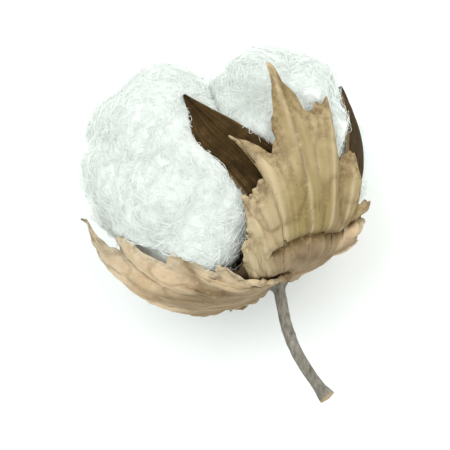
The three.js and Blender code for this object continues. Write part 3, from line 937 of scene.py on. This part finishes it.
def smooth_route(knots, count):
    """A curve through the knots: each coordinate is a cubic in the run, fitted with natural ends."""
    run = np.concatenate([[0], np.cumsum(np.linalg.norm(np.diff(knots, axis=0), axis=1))])
    step = np.diff(run)
    size = len(knots)
    system = np.eye(size)
    for i in range(1, size - 1):
        system[i, i - 1 : i + 2] = [step[i - 1], 2 * (step[i - 1] + step[i]), step[i]]
    slope = np.diff(knots, axis=0) / step[:, None]
    right = np.zeros_like(knots)
    right[1:-1] = 6 * np.diff(slope, axis=0)
    bend = np.linalg.solve(system, right)
    s = np.linspace(0, run[-1], count)
    k = np.clip(np.searchsorted(run, s, side="right") - 1, 0, size - 2)
    a, b = (run[k + 1] - s)[:, None], (s - run[k])[:, None]
    h = step[k][:, None]
    line = (bend[k] * a**3 + bend[k + 1] * b**3) / (6 * h)
    line += (knots[k] / h - bend[k] * h / 6) * a + (knots[k + 1] / h - bend[k + 1] * h / 6) * b
    return line, s


print("stalk in mm:", round(smooth_route(STALK_ROUTE, 2)[1][-1], 1))

# %% Stalk
STALK_GRID = (120, 36)  # rings and columns round
STALK_RADIUS, RECEPTACLE_RADIUS, RECEPTACLE_LENGTH = 1.0, 2.2, 4.4  # mm; the receptacle carries the boll
COLLAR, COLLAR_AT, COLLAR_WIDTH = 1.2, 2.2, 1.0  # mm out, down and up
KNUCKLE, KNUCKLE_LENGTH, END_CROWN = 0.45, 3, 0.25  # mm of swelling, of its run and of the end's crown
RIDGES = [(0.05, 5, 0.08), (0.02, 11, 0.0)]  # share of the radius, count, twist for each mm
WART_ROUND = 4  # mm radius of the rod on which the noise is read
WARTS, ROUGHNESS = (1.3, 0.07, 41), [(0.6, 0.04, 42)]  # size, height and seed


def stalk_points():
    """Rings across the route; radius = rod + flare at the top + collar + knuckle, with ridges and warts."""
    line, run = smooth_route(STALK_ROUTE, STALK_GRID[0])
    along = unit(np.gradient(line, axis=0))
    sideways = unit(np.array([1.0, 0, 0]) - along * along[:, :1])
    third = np.cross(along, sideways)
    flare = 1 - soft_step(run, 0, RECEPTACLE_LENGTH)
    radius = STALK_RADIUS + (RECEPTACLE_RADIUS - STALK_RADIUS) * flare
    radius += COLLAR * hill(run - COLLAR_AT, COLLAR_WIDTH)
    radius += KNUCKLE * soft_step(run, run[-1] - KNUCKLE_LENGTH, run[-1])
    turn = np.linspace(0, 2 * np.pi, STALK_GRID[1], endpoint=False)[None]
    down = run[:, None]
    ridge = sum(share * np.cos(count * turn + twist * down) for share, count, twist in RIDGES)
    rod = [WART_ROUND * np.cos(turn), down, WART_ROUND * np.sin(turn)]
    rod = np.stack(np.broadcast_arrays(*rod), axis=-1)
    size, height, seed = WARTS
    wart = height * np.maximum(grain(rod, size, seed), 0) + grains(rod, ROUGHNESS)
    wide = (radius[:, None] * (1 + ridge) + wart)[..., None]
    round_it = np.cos(turn)[..., None] * sideways[:, None] + np.sin(turn)[..., None] * third[:, None]
    rings = line[:, None] + wide * round_it
    points = np.concatenate([line[:1], rings.reshape(-1, 3), line[-1:] + END_CROWN * along[-1:]])
    share = np.concatenate([[0], np.repeat(run / run[-1], STALK_GRID[1]), [1]])
    return lay_down(points), share


stalk_surface, stalk_along = stalk_points()
stalk_faces = ball_faces(STALK_GRID[0] + 1, STALK_GRID[1])
stalk = make_piece("stalk_rod", stalk_surface, stalk_faces, "stalk", "stalk", along=stalk_along)

# %% [markdown]
# ## Finishes
# Each finish is a small tree of nodes that reads the piece's own marks or its place, so it stays put on
# the surface from every side. Pictures wrapped round the pieces would need a layout for each one.
# Numbers that are the same all over go straight onto the shader.

# %% Material helper
class Finish:
    """A material with a Principled shader and short ways to add and join nodes."""

    def __init__(self, name, **sockets):
        """Names the material and sets the shader's sockets that are the same all over."""
        self.material = bpy.data.materials.new(name)
        self.material.use_nodes = True
        self.nodes = self.material.node_tree.nodes
        self.links = self.material.node_tree.links
        self.shader = self.nodes["Principled BSDF"]
        for socket, value in sockets.items():
            self.shader.inputs[socket.replace("_", " ")].default_value = value

    def feed(self, socket, value):
        """Sets a socket to a colour or a number, or joins another node's output to it."""
        if isinstance(value, tuple):
            socket.default_value = (*value, 1)
        elif isinstance(value, (int, float)):
            socket.default_value = value
        else:
            self.links.new(value, socket)

    def mark(self, name):
        """The number of that name which the mesh keeps on its points."""
        node = self.nodes.new("ShaderNodeAttribute")
        node.attribute_name = name
        return node.outputs["Fac"]

    def place(self, stretch=(1, 1, 1)):
        """Where a spot is on the object, in metres, with each direction scaled."""
        where = self.nodes.new("ShaderNodeTexCoord")
        mapping = self.nodes.new("ShaderNodeMapping")
        mapping.inputs["Scale"].default_value = stretch
        self.feed(mapping.inputs["Vector"], where.outputs["Object"])
        return mapping.outputs["Vector"]

    def pair(self, x, y):
        """A flat place made of two numbers."""
        node = self.nodes.new("ShaderNodeCombineXYZ")
        self.feed(node.inputs["X"], x)
        self.feed(node.inputs["Y"], y)
        return node.outputs["Vector"]

    def noise(self, vector, scale, detail=4.0, rough=0.55):
        """Cloudy noise from 0 to 1, mostly near 0.5, with `scale` clouds to each unit of the place."""
        node = self.nodes.new("ShaderNodeTexNoise")
        settings = {"Vector": vector, "Scale": scale, "Detail": detail, "Roughness": rough}
        for socket, value in settings.items():
            self.feed(node.inputs[socket], value)
        return node.outputs["Fac"]

    def ramp(self, value, stops, colours):
        """Turns a number into a colour that runs from stop to stop."""
        node = self.nodes.new("ShaderNodeValToRGB")
        elements = node.color_ramp.elements
        while len(elements) < len(stops):
            elements.new(0.5)
        for element, position, colour in zip(elements, stops, colours):
            element.position = position
            element.color = (*colour, 1)
        self.feed(node.inputs["Fac"], value)
        return node.outputs["Color"]

    def level(self, value, low, high):
        """0 at low, 1 at high, smooth between; low may be the larger one."""
        node = self.nodes.new("ShaderNodeMapRange")
        node.interpolation_type = "SMOOTHSTEP"
        for socket, number in (("From Min", low), ("From Max", high), ("Value", value)):
            self.feed(node.inputs[socket], number)
        return node.outputs["Result"]

    def math(self, operation, a, b=0.0):
        """One sum, product or the like of two numbers."""
        node = self.nodes.new("ShaderNodeMath")
        node.operation = operation
        for socket, value in zip(node.inputs, (a, b)):
            self.feed(socket, value)
        return node.outputs["Value"]

    def times(self, a, b):
        """Product of two numbers."""
        return self.math("MULTIPLY", a, b)

    def mix(self, share, a, b):
        """Colour a where the share is 0, colour b where it is 1."""
        node = self.nodes.new("ShaderNodeMix")
        node.data_type = "RGBA"
        for key, value in (("Factor_Float", share), ("A_Color", a), ("B_Color", b)):
            self.feed(next(s for s in node.inputs if s.identifier == key), value)
        return next(s for s in node.outputs if s.identifier == "Result_Color")

    def tint(self, base, mask, strength, colour):
        """Lays a colour over the base, as strongly as mask times strength."""
        return self.mix(self.times(mask, strength), base, colour)

    def bump(self, height, strength, distance):
        """Tilts the shading as if the surface rose by a height from 0 to 1, times the distance."""
        node = self.nodes.new("ShaderNodeBump")
        for socket, value in (("Strength", strength), ("Distance", distance), ("Height", height)):
            self.feed(node.inputs[socket], value)
        self.feed(self.shader.inputs["Normal"], node.outputs["Normal"])

    def colour(self, socket):
        """Makes a node's output the shader's base colour."""
        self.feed(self.shader.inputs["Base Color"], socket)

    def put_on(self, *pieces):
        """Gives the pieces this material and no other."""
        for piece in pieces:
            piece.data.materials.clear()
            piece.data.materials.append(self.material)
        print(self.material.name, "on", len(pieces), "pieces")


print("ways to add nodes:", [way for way in vars(Finish) if not way.startswith("_")])

# %% [markdown]
# ### Lint
# Lint is nearly pure cellulose: white, without gloss, and light sinks into it and comes out nearby.
# Plain white would look like plaster. Subsurface scattering, a little sheen, faint cream clouds and a
# fine woolly bump keep it soft.

# %% Lint finish
LINT_STOPS, LINT_WHITES = (0.3, 0.62), [(0.885, 0.945, 0.90), (0.935, 0.98, 0.94)]
LINT_CREAM = (0.95, 0.955, 0.885)

lint = Finish(
    "lint", Roughness=1.0, Specular_IOR_Level=0.1, Sheen_Weight=0.3, Sheen_Roughness=0.6,
    Subsurface_Weight=0.5, Subsurface_Scale=0.003, Subsurface_Radius=(1.0, 1.0, 1.0),
)
spot = lint.place()
cloudy = lint.ramp(lint.noise(spot, 220.0), LINT_STOPS, LINT_WHITES)
cream = lint.level(lint.noise(spot, 75.0, 2.0), 0.56, 0.72)
lint.colour(lint.tint(cloudy, cream, 0.3, LINT_CREAM))
lint.bump(lint.noise(lint.place((1, 2.6, 1)), 2600.0, 6.0, 0.7), 0.5, 0.0003)
lint.put_on(*lint_pieces)

# %% [markdown]
# ### Fibres
# Single fibres are a touch lighter than the lint that they lie on, which lets them stand out. They could
# share the lint's finish, but light hardly scatters inside a tube this thin and working it out takes time,
# so they have a cloudy white and sheen only.

# %% Fibre finish
FIBRE_WHITES = [(0.905, 0.95, 0.905), (0.94, 0.985, 0.945)]

fibre = Finish("lint_fibre", Roughness=0.9, Specular_IOR_Level=0.1, Sheen_Weight=0.3, Sheen_Roughness=0.5)
fibre.colour(fibre.ramp(fibre.noise(fibre.place(), 300.0), LINT_STOPS, FIBRE_WHITES))
fibre.put_on(*fibre_pieces)

# %% [markdown]
# ### Burr
# Dry burr wood is dark and streaked outside, browner at the foot, and pale inside and along the rim.
# Streaks placed in space would cut across the blades. The marks kept on the points say how far along and
# across a valve a spot lies, so the streaks run with the blade and the rim follows its edge.

# %% Burr finish
BARK_STOPS = (0.34, 0.5, 0.66)
BARK_BROWNS = [(0.018, 0.010, 0.002), (0.046, 0.026, 0.007), (0.12, 0.07, 0.026)]
MOTTLE_STOPS, FOOT_BROWNS = (0.3, 0.7), [(0.13, 0.075, 0.036), (0.26, 0.17, 0.09)]
INSIDE_TANS, RIM_TAN = [(0.30, 0.20, 0.11), (0.52, 0.39, 0.24)], (0.30, 0.20, 0.11)

husk = Finish("burr_wood", Roughness=0.75, Specular_IOR_Level=0.1)
spot = husk.place()
along, across = husk.mark("along"), husk.mark("across")
lines = husk.pair(husk.times(across, 11.0), husk.times(along, 2.2))
long_streak = husk.times(husk.noise(lines, 1.6, 6.0, 0.65), 0.6)
streak = husk.math("ADD", long_streak, husk.times(husk.noise(spot, 420.0, 6.0, 0.65), 0.4))
mottle = husk.noise(spot, 130.0, 3.0)
dark = husk.ramp(streak, BARK_STOPS, BARK_BROWNS)
outside = husk.mix(husk.level(along, 0.55, 0.2), dark, husk.ramp(mottle, MOTTLE_STOPS, FOOT_BROWNS))
outside = husk.tint(outside, husk.level(husk.math("ABSOLUTE", across), 0.86, 1.0), 0.6, RIM_TAN)
inside = husk.ramp(mottle, MOTTLE_STOPS, INSIDE_TANS)
husk.colour(husk.mix(husk.level(husk.mark("inner"), 0.4, 0.6), outside, inside))
husk.bump(streak, 0.5, 0.0006)
husk.put_on(burr)

# %% [markdown]
# ### Bracts
# Dried bracts are tan, olive along the middle, paler on one side and browner on the other. Below the front
# bract's fold the paper is dun to pinkish beige, as the other two bracts are all over; on that lobe, which
# turns away below the fold, the dun is partly painted shade. Veins are light and the ends of the teeth dark,
# and small black oil glands dot the leaf. Creases and the fold's line are darkened as painted shade. One
# noise through one ramp would scatter these colours by chance. Here each has its own mask, made of marks and
# noise, and is laid over the last, so the order of the lines is the order of the layers.

# %% Bract colours
PAPER_STOPS = (0.28, 0.5, 0.72)
TANS = [(0.24, 0.176, 0.077), (0.35, 0.267, 0.13), (0.47, 0.37, 0.21)]
DUNS = [(0.18, 0.123, 0.066), (0.30, 0.219, 0.128), (0.41, 0.305, 0.19)]
BEIGES = [(0.34, 0.245, 0.145), (0.63, 0.47, 0.295), (0.84, 0.66, 0.44)]
OLIVE, STRAW, BROWN = (0.285, 0.22, 0.083), (0.56, 0.455, 0.285), (0.27, 0.20, 0.105)
GREY, VEIN_TAN = (0.63, 0.57, 0.43), (0.60, 0.485, 0.31)
# The first brown on the next line is painted shade for the creases and the fold's line.
CREASE_SHADE, SCORCH_BROWN, GLAND_BLACK = (0.15, 0.092, 0.036), (0.13, 0.08, 0.04), (0.06, 0.034, 0.018)

paper = Finish(
    "bract_paper", Roughness=0.85, Specular_IOR_Level=0.15, Subsurface_Weight=0.1, Subsurface_Scale=0.001
)
spot = paper.place()
blotch = paper.noise(spot, 150.0, 5.0, 0.6)
fine = paper.noise(spot, 900.0, 5.0, 0.65)
along, across, rosy = paper.mark("along"), paper.mark("across"), paper.mark("rosy")
print("bract colours in", len(TANS + DUNS + BEIGES), "ramp stops")

# %% Bract finish
olive = paper.times(paper.level(paper.math("ABSOLUTE", across), 0.7, 0.2), paper.level(along, 0.85, 0.5))
body = paper.tint(paper.ramp(blotch, PAPER_STOPS, TANS), olive, 0.8, OLIVE)
straw = paper.times(paper.level(across, -0.15, -0.5), paper.level(along, -0.1, 0.75))
body = paper.tint(body, straw, 0.75, STRAW)
brown = paper.times(paper.level(across, 0.15, 0.45), paper.level(along, 0.88, 0.62))
body = paper.tint(body, brown, 0.7, BROWN)
dun, beige = paper.ramp(blotch, PAPER_STOPS, DUNS), paper.ramp(blotch, PAPER_STOPS, BEIGES)
# Dun to beige on the marked parts: the paper's own tone, and on the front bract's lobe below the fold partly
# painted shade.
body = paper.mix(rosy, body, paper.mix(paper.level(along, 0.46, 0.74), dun, beige))
body = paper.tint(body, paper.times(rosy, paper.level(along, 0.75, 1.0)), 0.5, GREY)
body = paper.tint(body, paper.mark("vein"), 0.45, VEIN_TAN)
# Painted shade: creases and the fold's line are darkened.
crease = paper.times(paper.mark("crease"), paper.level(fine, 0.25, 0.55))
body = paper.tint(body, crease, 0.75, CREASE_SHADE)
scorch = paper.times(paper.level(along, 0.8, 1.0), paper.level(fine, 0.4, 0.66))
body = paper.tint(body, paper.times(scorch, paper.level(rosy, 2.0, 0.0)), 0.75, SCORCH_BROWN)
dots = paper.nodes.new("ShaderNodeTexVoronoi")
paper.feed(dots.inputs["Scale"], 1000.0)
paper.feed(dots.inputs["Vector"], spot)
paper.colour(paper.tint(body, paper.level(dots.outputs["Distance"], 0.15, 0.06), 0.5, GLAND_BLACK))
paper.bump(fine, 0.4, 0.0003)
paper.put_on(*bract_pieces)

# %% [markdown]
# ### Calyx
# The calyx dries to a tan paper that is browner at its rim. Layers like the bracts' would fit it too, but
# little of it shows between them, so one cloudy ramp, a rim read from the mark and a fine bump are enough.

# %% Calyx finish
CUP_STOPS, CUP_TANS, CUP_RIM = (0.3, 0.7), [(0.42, 0.29, 0.15), (0.62, 0.47, 0.28)], (0.26, 0.165, 0.08)

cup = Finish("calyx_paper", Roughness=0.8, Specular_IOR_Level=0.25)
spot = cup.place()
body = cup.ramp(cup.noise(spot, 240.0), CUP_STOPS, CUP_TANS)
cup.colour(cup.tint(body, cup.level(cup.mark("along"), 0.8, 1.1), 0.6, CUP_RIM))
cup.bump(cup.noise(spot, 1200.0, 5.0), 0.4, 0.0003)
cup.put_on(calyx)

# %% [markdown]
# ### Stalk
# The stalk has grey bark with fine lines along it, is brown where it carries the boll, and shows pale
# wood at its broken end. A wave texture would draw even rings or bands. Noise drawn out along Y, the way
# the stalk lies, gives uneven lines, and the mark along the stalk gives its two ends.

# %% Stalk finish
GREY_STOPS = (0.3, 0.52, 0.72)
BARK_GREYS = [(0.10, 0.088, 0.066), (0.205, 0.19, 0.155), (0.32, 0.305, 0.26)]
TOP_BROWN, BROKEN_WOOD = (0.34, 0.22, 0.11), (0.42, 0.31, 0.18)

bark = Finish("stalk_bark", Roughness=0.75, Specular_IOR_Level=0.3)
grain_lines = bark.noise(bark.place((1.6, 0.5, 1.6)), 900.0, 5.0, 0.6)
body = bark.ramp(grain_lines, GREY_STOPS, BARK_GREYS)
body = bark.tint(body, bark.level(bark.mark("along"), 0.14, 0.03), 0.7, TOP_BROWN)
bark.colour(bark.mix(bark.level(bark.mark("along"), 0.975, 1.0), body, BROKEN_WOOD))
bark.bump(grain_lines, 0.5, 0.0003)
bark.put_on(stalk)

# %% [markdown]
# ## Table and light
# The picture is bright, with hardly any shadow. One small lamp would cut hard edges into the lint. A pale
# table, a large soft lamp on either side above and an even, nearly white surrounding give lint that is
# white but still rounded by faint shade.

# %% Table
TABLE_HALF, TABLE_WHITE = 3.0, (0.955, 0.98, 0.97, 1)
TABLE_CORNERS = [(-1, -1), (1, -1), (1, 1), (-1, 1)]

table = bpy.data.objects.new("table", bpy.data.meshes.new("table"))
table.data.from_pydata([(x * TABLE_HALF, y * TABLE_HALF, 0) for x, y in TABLE_CORNERS], [], [(0, 1, 2, 3)])
bpy.context.collection.objects.link(table)
Finish("pale_table", Roughness=0.9, Specular_IOR_Level=0.1, Base_Color=TABLE_WHITE).put_on(table)

# %% Light
SKY_WHITE, SKY_STRENGTH = (0.97, 1.0, 0.99, 1), 0.88
LAMPS = {
    "key_lamp": {"place": (-0.3, 0.28, 0.85), "size": 0.55, "power": 3.4},
    "fill_lamp": {"place": (0.5, 0.4, 0.75), "size": 0.7, "power": 3.0},
}  # metres, metres and watts

world = bpy.data.worlds.new("studio")
world.use_nodes = True
sky = world.node_tree.nodes["Background"].inputs
sky["Color"].default_value = SKY_WHITE
sky["Strength"].default_value = SKY_STRENGTH
bpy.context.scene.world = world


def soft_lamp(name, place, size, power):
    """A square area lamp that looks at the boll's middle: tilted by its angle off the plumb line, then
    turned to face it."""
    lamp = bpy.data.objects.new(name, bpy.data.lights.new(name, "AREA"))
    lamp.data.size = size
    lamp.data.energy = power
    lamp.location = place
    aim = np.asarray(BOLL_MIDDLE) - np.asarray(place)
    tilt = np.arctan2(np.hypot(aim[0], aim[1]), -aim[2])
    lamp.rotation_euler = (tilt, 0, np.arctan2(-aim[0], aim[1]))
    bpy.context.collection.objects.link(lamp)


for name, lamp in LAMPS.items():
    soft_lamp(name, **lamp)
bpy.context.scene.view_settings.view_transform = "Standard"
print("lamps:", list(LAMPS))

# %% [markdown] ## Sizes Loose fibres stand a little proud of the solids.
# The fine pieces may stand a little proud of the solids, as loose fibres do, but not by much.
